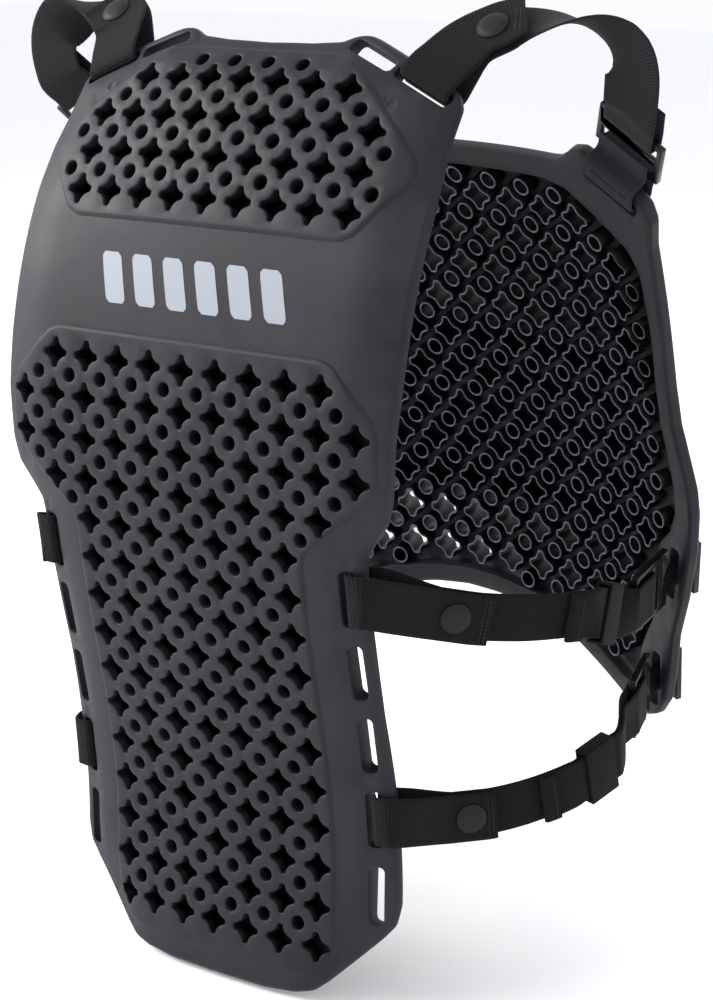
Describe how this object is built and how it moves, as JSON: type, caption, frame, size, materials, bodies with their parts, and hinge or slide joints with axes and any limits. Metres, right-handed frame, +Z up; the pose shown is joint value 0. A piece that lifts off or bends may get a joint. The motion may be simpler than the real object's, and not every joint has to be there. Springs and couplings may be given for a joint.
{
  "type": "torso protector",
  "caption": "Worn back and chest protector: two flexible perforated rubber panels joined over the shoulders and round the sides by elastic webbing straps with snap flaps and hook buckles.",
  "frame": {"origin": "midway between the crowns of the two shoulder straps, where the wearer's shoulders hold it", "axes": "+Z up, +Y out of the wearer's back through the back panel, +X to the wearer's left"},
  "size_m": [0.3796, 0.2493, 0.4771],
  "materials": {
    "panel_rubber": "satin moulded",
    "chest_rubber": "satin moulded",
    "print": "matte print",
    "webbing": "woven",
    "ribbed_webbing": "ribbed weave",
    "acetal": "gloss",
    "snap_cap": "matte black enamel",
    "snap_metal": "black oxide"
  },
  "bodies": {
    "back": {"back_panel": "panel_rubber", "printed_mark": "print", "strap_shoulder_left": "webbing", "strap_shoulder_right": "webbing", "strap_upper_left": "webbing", "strap_upper_right": "webbing", "strap_lower_left": "webbing", "strap_lower_right": "webbing", "snap_stud_shoulder_left": "snap_metal", "snap_stud_shoulder_right": "snap_metal", "snap_stud_upper_left": "snap_metal", "snap_stud_upper_right": "snap_metal", "snap_stud_lower_left": "snap_metal", "snap_stud_lower_right": "snap_metal", "snap_rivet_shoulder_left": "snap_metal", "snap_rivet_shoulder_right": "snap_metal", "snap_rivet_upper_left": "snap_metal", "snap_rivet_upper_right": "snap_metal", "snap_rivet_lower_left": "snap_metal", "snap_rivet_lower_right": "snap_metal"},
    "chest": {"chest_panel": "chest_rubber", "anchor_shoulder_left": "ribbed_webbing", "anchor_shoulder_right": "ribbed_webbing", "ladder_buckle_shoulder_left": "acetal", "ladder_buckle_shoulder_right": "acetal", "buckle_upper_left": "acetal", "buckle_upper_right": "acetal", "buckle_lower_left": "acetal", "buckle_lower_right": "acetal"},
    "flap_shoulder_left": {"flap_shoulder_left": "webbing", "snap_cap_shoulder_left": "snap_cap", "snap_socket_shoulder_left": "snap_metal"},
    "flap_shoulder_right": {"flap_shoulder_right": "webbing", "snap_cap_shoulder_right": "snap_cap", "snap_socket_shoulder_right": "snap_metal"},
    "flap_upper_left": {"flap_upper_left": "webbing", "snap_cap_upper_left": "snap_cap", "snap_socket_upper_left": "snap_metal"},
    "flap_upper_right": {"flap_upper_right": "webbing", "snap_cap_upper_right": "snap_cap", "snap_socket_upper_right": "snap_metal"},
    "flap_lower_left": {"flap_lower_left": "webbing", "snap_cap_lower_left": "snap_cap", "snap_socket_lower_left": "snap_metal"},
    "flap_lower_right": {"flap_lower_right": "webbing", "snap_cap_lower_right": "snap_cap", "snap_socket_lower_right": "snap_metal"},
    "keeper_upper_left": {"keeper_upper_left": "webbing"},
    "keeper_upper_right": {"keeper_upper_right": "webbing"},
    "keeper_lower_left": {"keeper_lower_left": "webbing"},
    "keeper_lower_right": {"keeper_lower_right": "webbing"}
  },
  "joints": [
    {"name": "chest_swing", "type": "hinge", "parent": "back", "child": "chest", "pos_m": [0, 0, 0], "axis": [-1, 0, 0], "range_deg": [0, 8], "deforming": ["strap_shoulder_left", "strap_shoulder_right", "strap_upper_left", "strap_upper_right", "strap_lower_left", "strap_lower_right"]},
    {"name": "flap_lift_shoulder_left", "type": "hinge", "parent": "back", "child": "flap_shoulder_left", "pos_m": [0.09279, 0.04187, -0.02828], "axis": [-0.9127, -0.074, 0.4018], "range_deg": [0, 100]},
    {"name": "flap_lift_upper_left", "type": "hinge", "parent": "back", "child": "flap_upper_left", "pos_m": [0.09014, 0.09488, -0.25544], "axis": [-0.0006, 0.1396, 0.9902], "range_deg": [0, 100]},
    {"name": "flap_lift_lower_left", "type": "hinge", "parent": "back", "child": "flap_lower_left", "pos_m": [0.08975, 0.07356, -0.36791], "axis": [-0.001, 0.0905, 0.9959], "range_deg": [0, 100]},
    {"name": "flap_lift_shoulder_right", "type": "hinge", "parent": "back", "child": "flap_shoulder_right", "pos_m": [-0.09279, 0.04187, -0.02828], "axis": [-0.9127, 0.074, -0.4018], "range_deg": [0, 100]},
    {"name": "flap_lift_upper_right", "type": "hinge", "parent": "back", "child": "flap_upper_right", "pos_m": [-0.09014, 0.09488, -0.25544], "axis": [-0.0006, -0.1396, -0.9902], "range_deg": [0, 100]},
    {"name": "flap_lift_lower_right", "type": "hinge", "parent": "back", "child": "flap_lower_right", "pos_m": [-0.08975, 0.07356, -0.36791], "axis": [-0.001, -0.0905, -0.9959], "range_deg": [0, 100]},
    {"name": "keeper_slide_upper_left", "type": "slide", "parent": "chest", "child": "keeper_upper_left", "axis": [-0.2031, -0.9403, -0.2731], "range_m": [-0.003, 0.008]},
    {"name": "keeper_slide_upper_right", "type": "slide", "parent": "chest", "child": "keeper_upper_right", "axis": [0.2031, -0.9403, -0.2731], "range_m": [-0.003, 0.008]},
    {"name": "keeper_slide_lower_left", "type": "slide", "parent": "chest", "child": "keeper_lower_left", "axis": [0.2039, -0.9357, 0.2879], "range_m": [-0.005, 0.005]},
    {"name": "keeper_slide_lower_right", "type": "slide", "parent": "chest", "child": "keeper_lower_right", "axis": [-0.2039, -0.9357, 0.2879], "range_m": [-0.005, 0.005]}
  ]
}
